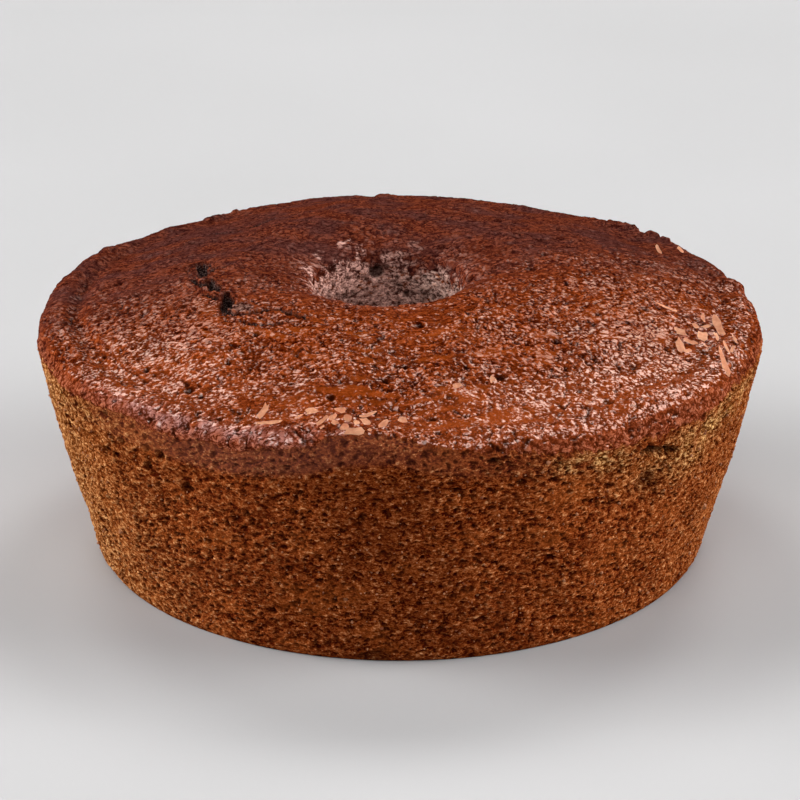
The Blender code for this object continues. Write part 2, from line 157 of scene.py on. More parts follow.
# Large flakes: azimuth, radius, length, width and turn from the ring's direction in degrees.
LARGE_FLAKES = (
    (-15, 88.6, 7.9, 2, 89), (-22, 96.5, 4.4, 3, 105), (-27.2, 100.1, 7.2, 2.6, 33),
    (-28.1, 103.2, 2.4, 1.4, 148), (-24.2, 101.5, 4.3, 3.8, 77), (-20.1, 103.4, 3.8, 3.6, 88),
    (-17.4, 99.8, 2.6, 1.8, 61), (-15, 107.1, 9.5, 2.6, 32), (-18.9, 107.8, 5.5, 1.2, 31),
    (-23, 112.9, 5.5, 1, 43), (-22.6, 114.5, 4, 1.2, 8), (-18.8, 113.2, 3.8, 1.3, 39),
    (-27.1, 114.6, 10.5, 2, 45), (-23.7, 106.3, 2.3, 1, 69), (-13.2, 100.9, 3.6, 1.4, 17),
    (-16.1, 102.9, 3.6, 1.2, 136), (25.6, 98.8, 6, 1.4, 171), (26.5, 109, 3.6, 1.4, 4),
    (-113, 105.9, 7.2, 2.2, 95), (-105, 102.5, 4, 3.4, 23), (-100.3, 100.5, 3.4, 3.4, 19),
    (-101.7, 113.4, 3.7, 1.3, 55), (-100.3, 111.9, 2.4, 2.6, 5), (-99.7, 113.9, 2.4, 1.8, 176),
    (-98, 111.9, 2.4, 2.6, 173), (-95.7, 101.4, 6.6, 1.7, 40), (-96.6, 113.2, 1.7, 2.4, 13),
    (-95.3, 112.2, 2.7, 2.8, 29), (-96.7, 116.6, 6.8, 2.7, 7), (-98.2, 115.4, 2.6, 2.2, 177),
    (-92.6, 111.9, 3.2, 2, 40), (-89.5, 105.6, 2.7, 2.6, 27), (-106.2, 108.1, 3.2, 1.4, 60),
    (-110.2, 114, 8.2, 1.8, 16), (-101.5, 115.6, 1.6, 1, 39), (-94.5, 115.3, 1.3, 1, 167),
)

# Small flakes: azimuth, radius, the two spreads and the count. Then what all flakes share.
FLAKE_DRIFT = (-60, 0.098, 26, 0.01, 3)
FLAKE_THICKNESS = 0.00056
FLAKE_STAND = 0.0012
FLAKE_LEAN = (-4.0, 30.0)
FLAKE_TILT = (-9.0, 9.0)
FLAKE_CORNERS = 11
FLAKE_SEED = 11
TEAR_SEED = 12

# Loose grains, and where on the wall they cling.
GRAIN_COUNT = 1800
GRAIN_RADIUS = 0.00026
GRAIN_HEIGHTS = (0.004, 0.072)
GRAIN_INNER_RADIUS = 0.08
GRAIN_SEED = 13

# Where crumb shows through beside the widest split, each with its spread.
CRUMBLED_AZIMUTH = (-144.5, 5.5)
CRUMBLED_RADIUS = (0.0612, 0.0046)

# How far the crust's edge stands out over the crumb, where it does, and where it is crisp.
LIP = 0.0007
LIP_AZIMUTH = (-118, 40)
CRISP_AZIMUTH = (-122, 34)
EDGE_BLUR = 0.0008

# Pits in the crust and pores in the crumb: spacing, radius, share, depth and seed.
CRUST_PITS = (
    (0.0076, 0.0016, 0.36, 1.15, 94), (0.0066, 0.0012, 0.36, 1.0, 66),
    (0.0036, 0.0008, 0.36, 0.75, 67), (0.0021, 0.0006, 0.5, 0.7, 68),
)
CRUMB_PORES = ((0.006, 0.0015, 0.28, 1.0, 74), (0.003, 0.001, 0.5, 0.8, 75))
SMALL_PORES = ((0.0019, 0.00076, 0.6, 0.6, 77),)

# How closely the crumb's pores lie along each axis, and how closely where it is open.
CRUMB_LAYERING = (1.0, 1.0, 1.7)
OPEN_CRUMB = 0.55

# Noise that makes an outline uneven: weight, size and seed.
SPLIT_NOISE = ((0.6, 0.0026, 31), (0.55, 0.0011, 32))
OPENING_NOISE = ((0.5, 0.002, 41), (0.35, 0.0009, 42))
CRUST_NOISE = ((0.0013, 0.008, 81), (0.0009, 0.0024, 82))
MASK_NOISE = ((0.0022, 0.006, 83), (0.0012, 0.002, 84))

# Glossy crust, which is also painted with a lighter sheen: azimuth, width, strength, and the radii where it
# starts and is full.
GLOSSY_PARTS = (
    (-133, 24, 1.0, 0.08, 0.1), (-60, 28, 1.2, 0.078, 0.1),
    (-48, 30, 1.1, 0.102, 0.11), (-95, 30, 0.3, 0.04, 0.06),
)

# Golden crumb under the crust's edge, part dry crumb and part painted glints, and painted light on the
# flanks where light grazes them: azimuth, width and strength.
DRY_AND_GLINT_PLACES = ((-61, 6.0), (-30, 13), (-45, 20, 0.15), (-155, 16))
LIT_FLANKS = ((-165, 28, 0.56), (-18, 28, 0.12))

# Fineness of the skin: the triangles' sides on the crust, the wall, the base and in the hole.
SPACINGS = (0.00056, 0.00058, 0.0025, 0.00085)

# Colours along a tone: each a place on it and a colour.
GLOSSY_CRUST = ((0.34, (0.03, 0.0022, 0.0002)), (0.5, (0.139, 0.0195, 0.003)), (0.68, (0.305, 0.06, 0.013)))
DULL_CRUST = ((0.34, (0.03, 0.0045, 0.0018)), (0.5, (0.135, 0.027, 0.0115)), (0.68, (0.42, 0.145, 0.078)))
# A painted reflection: the pale, pinkish sheen on the crust's roll at the front left.
PAINTED_RIM_SHEEN = ((0.4, (0.06, 0.018, 0.014)), (0.6, (0.56, 0.33, 0.31)))
# Painted shade and painted reflection: the crust's darker, purplish colours towards the back.
PAINTED_BACK_SHADE = ((0.32, (0.022, 0.0062, 0.006)), (0.66, (0.08, 0.025, 0.0205)))
# Painted shade: the nearly black insides of the splits, with a few lighter crumbs.
SPLIT_CRUST = ((0.48, (0.005, 0.002, 0.0018)), (0.66, (0.11, 0.07, 0.06)))
CRUMBLED_CRUST = ((0.42, (0.022, 0.0065, 0.0045)), (0.64, (0.24, 0.13, 0.1)))
PINK_BLOOM = ((0.4, (0.11, 0.034, 0.024)), (0.6, (0.9, 0.52, 0.43)))
ASHEN_BLOOM = ((0.4, (0.06, 0.028, 0.022)), (0.6, (0.62, 0.4, 0.33)))
MOIST_CRUMB = (
    (0.4, (0.042, 0.0034, 0.0008)), (0.49, (0.17, 0.031, 0.006)),
    (0.57, (0.3, 0.078, 0.019)), (0.66, (0.64, 0.3, 0.13)),
)
DRY_AND_LIT_CRUMB = ((0.41, (0.04, 0.009, 0.0015)), (0.5, (0.25, 0.092, 0.022)), (0.59, (0.76, 0.45, 0.18)))
PALE_CHOCOLATE = ((0.38, (0.7, 0.275, 0.13)), (0.62, (0.98, 0.56, 0.33)))
LOOSE_GRAIN = ((0.38, (0.16, 0.038, 0.009)), (0.62, (0.42, 0.18, 0.08)))
PALE_FLOOR = ((0.3, (0.438, 0.434, 0.436)), (0.7, (0.468, 0.464, 0.468)))

# How much each mask takes away from the crust's sheen.
DULLING = (("hollow", 1.0), ("knobs", 0.15), ("painted_back_shade", 0.88), ("pale", 0.8), ("split", 0.8))

# Lights: name, azimuth, elevation, spread and strength. The broad ones give no sheen.
BROAD_LIGHTS = (
    ("side_left", 175, 11, 40, 6.3),
    ("side_right", -1.0, 11, 40, 5.5),
    ("back_left", 116, 56, 20, 0.9),
    ("back_right", 64, 56, 20, 1.0),
    ("front_top", -95, 42, 50, 1.35),
)

# These only glint, and have a colour.
WARM = (1.0, 0.8, 0.7)
GLINT_LIGHTS = (
    ("glint_top", -90, 70, 50, 4.0, (1.0, 0.86, 0.8)),
    ("glint_left", 116, 36, 32, 1.35, WARM),
    ("glint_right", 64, 36, 32, 1.5, WARM),
    ("glint_rim", 22, 45, 44, 3.6, WARM),
)
AMBIENT_COLOUR = (0.93, 0.96, 1.0, 1.0)
AMBIENT_STRENGTH = 0.05

# The photograph's camera. The focal length is in pixels of its 800-pixel frame.
FRAME_PIXELS = 800
FOCAL_PIXELS = 3000
SENSOR_WIDTH = 36
CAMERA_ELEVATION = 22
CAMERA_DISTANCE = 1.011
CAMERA_TARGET = (0.0, 0.0, 0.0465)


# --- Small helpers ---


def step(start, end, value):
    """A smooth step from 0 at the start to 1 at the end."""
    share = unit((value - start) / (end - start))
    return share * share * (3.0 - 2.0 * share)


def bell(value, centre, width):
    return np.exp(-(((value - centre) / width) ** 2))


def turn_bell(azimuth, centre, width, height=1.0):
    """A bell in azimuth that wraps round the circle."""
    apart = (azimuth - centre + 180) % 360 - 180
    return height * np.exp(-((apart / width) ** 2))


def unit(value):
    """The value, kept between 0 and 1."""
    return np.clip(value, 0.0, 1.0)


def around_axis(points):
    """Each point's azimuth in degrees and its distance from the axis."""
    x, y = points[:, 0], points[:, 1]
    return np.degrees(np.arctan2(y, x)), np.hypot(x, y)


def lengths(vectors):
    return np.linalg.norm(vectors, axis=1)


def polar(azimuth, radius, height):
    """The point at an azimuth in degrees, a radius and a height."""
    angle = math.radians(azimuth)
    return Vector((radius * math.cos(angle), radius * math.sin(angle), height))


def in_metres(row):
    """A row's azimuth, and its lengths turned from millimetres to metres."""
    return row[0], *(length * MM for length in row[1:])


def waves(points, height, seed, shortest, longest):
    """A smooth random field about so many metres high, from waves of the given lengths."""
    draw = RandomState(seed)
    total = np.zeros(len(points))
    for _ in range(WAVE_COUNT):
        direction = draw.normal(size=3)
        direction /= np.linalg.norm(direction)
        length = draw.uniform(shortest, longest)
        phase = draw.uniform(0.0, 2.0 * math.pi)
        total += np.cos(points @ direction * (2.0 * math.pi / length) + phase)
    return height * (total * math.sqrt(2.0 / WAVE_COUNT))


def lattice(points, size, seed):
    """Each point's place in its cell, and a function for the whole numbers at the cells near it."""
    place = points / size
    low = np.floor(place).astype(np.int64)
    x, y, z = (low & 255).T
    order = RandomState(seed).permutation(256)
    table = np.concatenate([order, order])

    def code(dx, dy, dz):
        return table[table[table[(x + dx) & 255] + ((y + dy) & 255)] + ((z + dz) & 255)]

    return place - low, code


def noise(points, size, seed):
    """Gradient noise between about -1 and 1, with lumps of the given size."""
    slopes = RandomState(SLOPE_SEED).normal(size=(256, 3))
    slopes /= lengths(slopes)[:, None]
    inside, code = lattice(points, size, seed)
    x, y, z = inside.T
    u, v, w = (t**3 * (t * (t * 6.0 - 15.0) + 10.0) for t in (x, y, z))
    total = np.zeros(len(points))
    for dx, dy, dz in np.ndindex(2, 2, 2):
        share = (u if dx else 1.0 - u) * (v if dy else 1.0 - v) * (w if dz else 1.0 - w)
        a, b, c = slopes[code(dx, dy, dz)].T
        total += share * (a * (x - dx) + b * (y - dy) + c * (z - dz))
    return total * NOISE_GAIN


def noises(points, *layers):
    """The sum of several noises: each a weight, a size and a seed."""
    return sum(weight * noise(points, size, seed) for weight, size, seed in layers)


def ridges(points, size, seed):
    """Sharp-crested ridges between 0, in the valleys, and 1."""
    return 1.0 - np.minimum(np.abs(noise(points, size, seed)) * 2.2, 1.0)


def cells(points, size, seed):
    """For scattered spots about a size apart: the distance to the nearest, and its chance number."""
    jitter = RandomState(JITTER_SEED).uniform(size=(256, 3))
    inside, code = lattice(points, size, seed)
    nearest = np.full(len(points), 9.0)
    chance = np.zeros(len(points))
    for corner in np.ndindex(3, 3, 3):
        offset = np.array(corner) - 1
        number = code(*offset)
        apart = jitter[number] + offset - inside
        apart = np.einsum("ij,ij->i", apart, apart)
        closer = apart < nearest
        nearest[closer] = apart[closer]
        chance[closer] = number[closer] / 255.0
    return np.sqrt(nearest) * size, chance


def pitted(points, kinds):
    """Round pits of uneven size at a share of scattered spots: the deepest of several kinds."""
    hollows = np.zeros(len(points))
    for spacing, radius, share, depth, seed in kinds:
        apart, chance = cells(points, spacing, seed)
        reach = radius * (0.6 + 0.8 * chance / share)
        pits = np.where(chance < share, unit(1.0 - (apart / reach) ** 2), 0.0)
        hollows = np.maximum(hollows, depth * pits)
    return hollows


# --- The form, as in the frame ---


def spline(points, spacing):
    """Evenly spaced points on the smooth curve through a few given ones, both ends included."""
    line = [np.array(p) for p in points]
    line = [2 * line[0] - line[1], *line, 2 * line[-1] - line[-2]]
    fine = []
    for a, b, c, d in zip(line, line[1:], line[2:], line[3:]):
        for t in np.linspace(0.0, 1.0, 24, endpoint=False):
            slope = (c - a) * t + (2 * a - 5 * b + 4 * c - d) * t**2
            fine.append(b + 0.5 * (slope + (3 * b - a - 3 * c + d) * t**3))
    fine = np.array([*fine, line[-2]])
    length = np.concatenate([[0.0], np.cumsum(lengths(np.diff(fine, axis=0)))])
    marks = np.linspace(0.0, length[-1], int(round(length[-1] / spacing)) + 1)
    return np.stack([np.interp(marks, length, fine[:, k]) for k in range(fine.shape[1])], axis=1)


def straight(start, end, spacing):
    """Evenly spaced points from one section point to another, without the first."""
    run = np.subtract(end, start)
    share = np.linspace(0.0, 1.0, int(round(math.hypot(*run) / spacing)) + 1)[1:]
    return start + share[:, None] * run


def section():
    """The section's stretches in order: crust, wall, base and hole, as points and spacings."""
    crust_rows, wall_rows, base_rows, hole_rows = math.sqrt(0.75) * np.array(SPACINGS)
    inner = [HOLE_THROAT, HOLE_TURN, HOLE_LIP, CROWN, SHOULDER, CREASE]
    roll = [CREASE, ROLL_TOP, ROLL_OUTSIDE, RIM]
    crust = np.concatenate([spline(inner, crust_rows)[:-1], spline(roll, crust_rows)])
    wall = straight(RIM, BASE_EDGE, wall_rows)
    share = (RIM[1] - wall[:, 1]) / (RIM[1] - BASE_EDGE[1])
    wall[:, 0] += WALL_BULGE * np.sin(math.pi * share)
    corner = (BASE_EDGE[0] - BASE_ROUNDING, 0.0)
    wall = np.concatenate([wall, straight(BASE_EDGE, corner, wall_rows)])
    foot = (HOLE_FOOT[0] + BASE_ROUNDING, 0.0)
    base = straight(corner, foot, base_rows)
    tube = straight(HOLE_FOOT, HOLE_THROAT, hole_rows)[:-1]
    hole = np.concatenate([straight(foot, HOLE_FOOT, hole_rows), tube])
    return zip((crust, wall, base, hole), SPACINGS)


def lift(azimuth, radius, points):
    """How far the top rises or sinks."""
    rise = turn_bell(azimuth, *BACK_RISE)
    rise += turn_bell(azimuth, *FRONT_BUMP) * step(*ROLL_RADII, radius)
    rise -= turn_bell(azimuth, *LEFT_CREASE) * bell(radius, *CREASE_RADIUS)
    rise -= turn_bell(azimuth, *FRONT_HOLLOW) * bell(radius, *FRONT_HOLLOW_RADIUS)
    return rise + waves(points, *BROAD_LUMPS) + waves(points, *SMALL_LUMPS)


def push(azimuth, radius, height, points):
    """How far the walls stand out from the axis, or in where it is negative."""
    hollow = turn_bell(azimuth, *SIDE_HOLLOW) * bell(height, *SIDE_HOLLOW_HEIGHT)
    outer = waves(points, *WALL_LUMPS) - hollow
    return np.where(radius > WALLS_PART, outer, waves(points, *HOLE_LUMPS))


def bake_unevenly(points):
    """Moves the turned ring's points: the top up and down, the walls in and out."""
    azimuth, radius = around_axis(points)
    height = points[:, 2]
    on_top = step(*TOP_HEIGHTS, height)
    on_wall = step(*WALL_HEIGHTS, height) * (1.0 - on_top)
    near_hole = 1.0 - step(*HOLE_RADII, radius)
    moved = points.copy()
    moved[:, 2] += on_top * lift(azimuth, radius, points)
    grown = 1.0 + on_wall * push(azimuth, radius, height, points) / radius
    moved[:, :2] *= grown[:, None]
    moved[:, 0] += HOLE_DRIFT * near_hole * step(*DRIFT_HEIGHTS, height)
    return moved


# --- The skin: rings of points and the triangles between them ---


def ring_points(radius, height, spacing, row):
    """One ring's points, every second ring turned by half a step."""
    count = max(int(round(2.0 * math.pi * radius / spacing)), 24)
    angle = 2.0 * math.pi * (np.arange(count) + 0.5 * (row % 2)) / count
    x, y = radius * np.cos(angle), radius * np.sin(angle)
    return np.stack([x, y, np.full(count, height)], axis=1)


def stitch(first, second, counts, shifts):
    """Triangles between two rings that may differ in count, in the order of their angles."""
    (n, m), (p, q) = counts, shifts
    ends = np.concatenate([(np.arange(1, n + 1) + p) / n, (np.arange(1, m + 1) + q) / m])
    order = np.argsort(ends, kind="stable")
    from_first = order < n
    i = np.cumsum(from_first) - from_first
    j = np.cumsum(~from_first) - ~from_first
    a, b = first + i % n, second + j % m
    ahead = np.where(from_first, first + (i + 1) % n, second + (j + 1) % m)
    return np.stack([a, b, ahead], axis=1)


def build_skin():
    """The skin's points, how far each is above the rim, its triangles and their stretches."""
    rings, along, stretches = [], [], []
    walked, last = 0.0, None
    for stretch, (line, spacing) in enumerate(section()):
        for radius, height in line:
            if last is not None:
                walked += math.hypot(radius - last[0], height - last[1])
            last = (radius, height)
            rings.append(ring_points(radius, height, spacing, len(rings)))
            along.append(walked)
            stretches.append(stretch)
    counts = [len(ring) for ring in rings]
    starts = np.cumsum([0] + counts)
    triangles, owner = [], []
    for row in range(len(rings)):
        after = (row + 1) % len(rings)
        shifts = (0.5 * (row % 2), 0.5 * (after % 2))
        faces = stitch(starts[row], starts[after], (counts[row], counts[after]), shifts)
        triangles.append(faces)
        owner.append(np.full(len(faces), stretches[after]))
    above_rim = along[stretches.index(1) - 1] - np.repeat(along, counts)
    return np.concatenate(rings), above_rim, np.concatenate(triangles), np.concatenate(owner)


def point_normals(points, triangles):
    """Each point's normal, from the triangles round it."""
    a, b, c = (points[triangles[:, k]] for k in range(3))
    face = np.cross(b - a, c - a)
    normals = np.zeros_like(points)
    for k in range(3):
        for axis in range(3):
            normals[:, axis] += np.bincount(triangles[:, k], face[:, axis], len(points))
    return normals / lengths(normals)[:, None]


# --- The relief on the skin ---


def near_split(points, split):
    """How far inside a split each point is: 1 on its line, 0 at its edge and beyond."""
    marks = [(*polar(a, r, 0.0).xy, width) for a, r, width in map(in_metres, split)]
    line = spline(marks, 0.002)
    middle = line[:, :2].mean(axis=0)
    reach = lengths(line[:, :2] - middle).max() + 0.01
    close = lengths(points[:, :2] - middle) < reach
    near = points[close]
    inside = np.zeros(len(near))
    ragged = 1.0 + noises(near, *SPLIT_NOISE)
    for start, end in zip(line[:-1], line[1:]):
        run = end[:2] - start[:2]
        share = unit((near[:, :2] - start[:2]) @ run / (run @ run))
        apart = lengths(near[:, :2] - start[:2] - share[:, None] * run)
        width = (start[2] + share * (end[2] - start[2])) * ragged
        inside = np.maximum(inside, unit(1.0 - apart / np.maximum(width, 1e-5)))
    whole = np.zeros(len(points))
    whole[close] = inside
    return whole


def near_opening(points, ragged, azimuth, height, half_width, half_height):
    """How far inside an opening in the wall each point is: 1 in its middle, 0 beyond its edge."""
    apart = points - np.array(polar(azimuth, 0.115, height))
    sideways = np.array(polar(azimuth + 90, 1.0, 0.0))
    outwards = np.array(polar(azimuth, 1.0, 0.0))
    across = apart @ sideways / (half_width * 1.1)
    upright = apart[:, 2] / (half_height * 1.1)
    inside = unit(1.0 - (across**2 + upright**2) / ragged)
    return np.where(apart @ outwards > -0.03, inside, 0.0)


def crag_rise(points):
    """How far the rim and its crags stand out of the turned form."""
    azimuth, radius = around_axis(points)
    rise = MM * np.interp(azimuth, *zip(*RIM_RISE)) * step(0.098, 0.11, radius)
    rugged = 1.0 + 0.45 * noise(points, 0.0022, 22)
    crags = np.zeros(len(points))
    for turn, middle, half_width, height in map(in_metres, RIM_CRAGS):
        apart = lengths(points[:, :2] - np.array(polar(turn, middle, 0.0).xy))
        inside = unit(1.0 - apart / (1.25 * half_width * rugged))
        crags = np.maximum(crags, height * step(0.0, 0.55, inside))
    return (rise + crags) * step(0.074, 0.079, points[:, 2])


def bent(points, size, amount, seed):
    """The points pushed about by noise, so that patterns read at them lose their regularity."""
    push_about = [noise(points, size, seed + k) for k in range(3)]
    return points + amount * np.stack(push_about, axis=1)


def ring_wise(points, stretch):
    """Places for patterns that are drawn out along the ring."""
    azimuth, radius = around_axis(points)
    turn = np.radians(azimuth) * 0.1 / stretch
    return np.stack([radius, turn, 0.0 * turn], axis=1)


def crust_relief(points, flow):
    """The crust's wrinkles, knobs and pits. flow is 1 where the crust set smooth."""
    warped = bent(points, 0.0045, 0.0013, 50)
    rough = 1.0 - 0.6 * flow
    patch = np.clip(0.95 + 0.7 * noise(points, 0.018, 65), 0.45, 1.6)
    texture = 0.2 * (ridges(warped, 0.0032, 62) - 0.4)
    texture += 0.3 * noise(warped, 0.0022, 63) + 0.25 * noise(points, 0.0012, 61)
    hollows = pitted(bent(points, 0.0016, 0.0006, 56), CRUST_PITS) * (1.0 - 0.5 * flow)
    fissure = step(0.86, 0.97, ridges(warped, 0.0085, 69))
    fissure *= step(0.0, 0.3, noise(points, 0.015, 70)) * rough
    texture = rough * patch * texture - 1.2 * np.sqrt(hollows) * hollows - 0.5 * fissure
    relief = 0.2 * noises(points, (1.0, 0.008, 64), (0.5, 0.004, 65)) + texture
    relief += 0.3 * noise(ring_wise(points, 3.5), 0.0034, 93) * rough
    return relief * MM, unit(hollows + 0.7 * fissure), texture


def crumb_relief(points, openness):
    """The crumb's grains and pores. openness is over 1 where the pores are larger."""
    layered = points * np.array(CRUMB_LAYERING)
    torn = bent(layered, 0.0016, 0.00085, 76)
    apart, _ = cells(torn, 0.002, 72)
    texture = 0.2 * noise(layered, 0.0032, 71) + 0.26 * noise(layered, 0.0017, 78)
    texture += 0.32 * (1.0 - np.minimum(apart / 0.0014, 1.0) ** 2) - 0.15
    hollows = np.maximum(pitted(torn, CRUMB_PORES) * openness, pitted(torn, SMALL_PORES))
    texture -= 1.5 * np.sqrt(hollows) * np.minimum(hollows * 2.0, 1.0)
    relief = 0.22 * noise(layered, 0.0065, 73) + texture
    return relief * MM, unit(hollows), texture


def crust_share(azimuth, above_rim, points):
    """1 on the crust and 0 on the crumb, with an uneven edge, and the height over that edge."""
    above_edge = above_rim - MM * np.interp(azimuth, *zip(*CRUST_EDGE))
    torn = 1.0 - turn_bell(azimuth, *CRISP_AZIMUTH)
    ragged = noises(points, *CRUST_NOISE) + 0.002 * noise(points, 0.0018, 86) * torn
    return step(-EDGE_BLUR, EDGE_BLUR, above_edge + ragged), above_edge


def hole_masks(points, radius, ragged):
    """The share of the hole's crumb, and where the pale bloom lies in the hole."""
    depth = HOLE_LIP[1] - points[:, 2] + 1.1 * ragged + 0.0012 * noise(points, 0.0034, 88)
    in_hole = step(0.0058, 0.0082, depth) * (radius < HOLE_LIP[0])
    left = 1.0 - 0.7 * step(-0.015, 0.006, points[:, 0])
    powder = step(-0.001, 0.008, depth + 0.9 * ragged) * (radius < 0.033) * left
    return in_hole, np.maximum(in_hole, powder) * step(0.045, 0.07, points[:, 2])


def smooth_flow(points, azimuth, radius):
    """Where the crust set smooth: in streaks along the front's edge and patches further in."""
    streaks = step(0.02, 0.3, noise(ring_wise(points, 6.0), 0.0048, 91))
    streaks *= turn_bell(azimuth, -84, 40) * step(0.088, 0.098, radius)
    streaks *= 1.0 - step(0.1115, 0.115, radius)
    patches = step(0.3, 0.5, noise(ring_wise(points, 3.5), 0.0052, 95))
    patches *= step(0.042, 0.06, radius) * (1.0 - step(0.106, 0.11, radius))
    patches *= 1.0 - step(-0.05, 0.0, points[:, 1])
    return np.maximum(streaks, patches)


def golden_crumb_and_painted_light(points, azimuth, above_edge):
    """Where the crumb is golden: dry crumb with painted glints under the crust's edge, and painted light on
    the flanks.
    """
    dry = unit(sum(turn_bell(azimuth, *place) for place in DRY_AND_GLINT_PLACES))
    reach = 0.0042 + turn_bell(azimuth, -38, 14, 0.0038)
    dry_crumb_and_painted_light = bell(above_edge, -reach, reach) * dry * unit(0.6 + 0.9 * noise(points, 0.005, 85))
    dry_crumb_and_painted_light += turn_bell(azimuth, -40, 16, 0.36) * bell(above_edge, -0.015, 0.009)
    # Painted light: the flanks lighter, as where light grazes them.
    return np.maximum(dry_crumb_and_painted_light, sum(turn_bell(azimuth, *flank) for flank in LIT_FLANKS))


def gloss_masks(points, azimuth, radius, above_rim):
    """How glossy the crust is, and where a pale sheen is painted on its roll."""
    painted_rim_sheen = turn_bell(azimuth, -122, 18) * bell(above_rim, 0.007, 0.003)
    painted_rim_sheen *= 0.7 + 1.2 * noise(points, 0.005, 96)
    gloss_and_painted_sheen = painted_rim_sheen + 0.3 + 0.45 * noises(points, (1.0, 0.012, 87), (0.5, 0.006, 88))
    for turn, width, strength, start, full in GLOSSY_PARTS:
        gloss_and_painted_sheen += turn_bell(azimuth, turn, width, strength) * step(start, full, radius)
    return np.clip(gloss_and_painted_sheen, 0.0, 1.5), unit(painted_rim_sheen)


def skin_masks(points, above_rim):
    """Where each kind of surface, painted shade and painted light lies, from 0 to 1, and how far above the
    crust's edge it is.
    """
    azimuth, radius = around_axis(points)
    crust, above_edge = crust_share(azimuth, above_rim, points)
    ragged = noises(points, *MASK_NOISE)
    in_hole, pale = hole_masks(points, radius, ragged)
    crust = crust * (1.0 - in_hole)
    crumb = (1.0 - crust) * (1.0 - in_hole)
    gloss_and_painted_sheen, painted_rim_sheen = gloss_masks(points, azimuth, radius, above_rim)
    knobs = unit(turn_bell(azimuth, -35, 38, 1.3)) * crust
    band = step(-0.01, -0.0065, above_edge) * turn_bell(azimuth, -110, 30)
    backwards = points[:, 1] - 0.4 * np.maximum(points[:, 0], 0.0)
    crumbled = turn_bell(azimuth, *CRUMBLED_AZIMUTH) * bell(radius, *CRUMBLED_RADIUS)
    masks = {
        "crust": crust,
        "gloss_and_painted_sheen": gloss_and_painted_sheen,
        # painted reflection: a pale sheen on the roll at the front left
        "painted_rim_sheen": painted_rim_sheen,
        "flow": smooth_flow(points, azimuth, radius) * crust,
        "rim": 1.0 - step(0.003, 0.0075, above_rim),
        "knobs": knobs * (1.0 - step(0.001, 0.009, above_rim + 3.0 * ragged)),
        "band": band * crumb,
        # golden crumb: dry crumb and painted glints under the edge, painted light on the flanks
        "dry_crumb_and_painted_light": golden_crumb_and_painted_light(points, azimuth, above_edge) * crumb,
        "pale": pale,
        "grey": step(0.0, 0.02, points[:, 0] - HOLE_DRIFT),
        "crumbled": step(0.35, 0.6, crumbled + 12 * ragged * crumbled),
        # painted shade and painted reflection: darker, purplish crust towards the back
        "painted_back_shade": step(-0.06, 0.018, backwards + 5.0 * ragged),
    }
    return masks, np.where(in_hole > 0.5, 1.0, above_edge)


def part_relief(share, points, other, relief):
    """A relief at the points where a share isn't 0: its heights, hollows and texture."""
    used = share > 0.001
    found = np.zeros((3, len(points)))
    found[:, used] = relief(points[used], other[used])
    return found * share


def texture_relief(points, masks):
    """The relief of the crust and the crumb. Also makes the masks of its hollows and peaks."""
    azimuth, _ = around_axis(points)
    band = masks["band"]
    left_front = turn_bell(azimuth, -136, 17) * step(0.045, 0.058, points[:, 2])
    openness = 1.0 + 0.5 * left_front - 0.4 * band
    skinned = masks["crust"] * (1.0 - 0.8 * masks["knobs"]) * (1.0 - 0.8 * masks["crumbled"])
    calm = np.maximum(masks["flow"], 0.6 * masks["painted_back_shade"])
    wrinkled = part_relief(skinned, points, calm, crust_relief)
    porous = part_relief(1.0 - skinned, points, openness, crumb_relief) * (1.0 - 0.2 * band)
    coarse = 0.75 * left_front * (1.0 - skinned)
    porous *= 1.0 - coarse
    porous += part_relief(coarse, points * OPEN_CRUMB, openness, crumb_relief)
    relief, masks["hollow"], texture = wrinkled + porous
    masks["peak"] = unit(0.5 + texture)
    return relief


def cut_relief(points):
    """How deep the splits, openings and pits cut into the skin, and the mask of their insides."""
    cut, split = np.zeros((2, len(points)))
    lumps = 1.0 + 0.7 * noise(points, 0.0019, 33)
    ragged = 1.0 + noises(points, *OPENING_NOISE)
    on_top = step(0.076, 0.08, points[:, 2])
    for depth, *line in SPLITS:
        inside = near_split(points, line) * on_top
        cut += depth * MM * inside**0.7 * lumps
        split = np.maximum(split, step(0.0, 0.3, inside))
    for *opening, depth in map(in_metres, WALL_OPENINGS):
        inside = near_opening(points, ragged, *opening)
        cut += depth * np.sqrt(inside)
        split = np.maximum(split, step(0.1, 0.6, inside) * min(depth / 0.004, 1.0))
    for azimuth, radius, height, reach in map(in_metres, HOLE_PITS):
        apart = lengths(points - np.array(polar(azimuth, radius, height)))
        inside = unit(1.0 - (apart / reach) ** 2 * (1.5 - 0.6 * lumps))
        cut += reach * np.sqrt(inside)
        split = np.maximum(split, 0.9 * step(0.1, 0.6, inside))
    return cut, split


def carve_skin(points, normals, masks, above_edge):
    """Adds the relief to the skin, and to the masks where it is hollow or split."""
    azimuth, _ = around_axis(points)
    relief = texture_relief(points, masks) + crag_rise(points)
    lip = bell(above_edge, 0.0011, 0.0014) - 0.5 * bell(above_edge, -0.001, 0.0012)
    lip *= turn_bell(azimuth, *LIP_AZIMUTH) * (0.9 + 0.5 * noise(points, 0.006, 34))
    cut, masks["split"] = cut_relief(points)
    relief += LIP * lip - cut
    clear_of_base = step(0.0004, 0.003, points[:, 2])
    return points + normals * (relief * clear_of_base)[:, None]


# --- Meshes ---


def add_to_scene(name, data):
    obj = bpy.data.objects.new(name, data)
    bpy.context.scene.collection.objects.link(obj)
    return obj


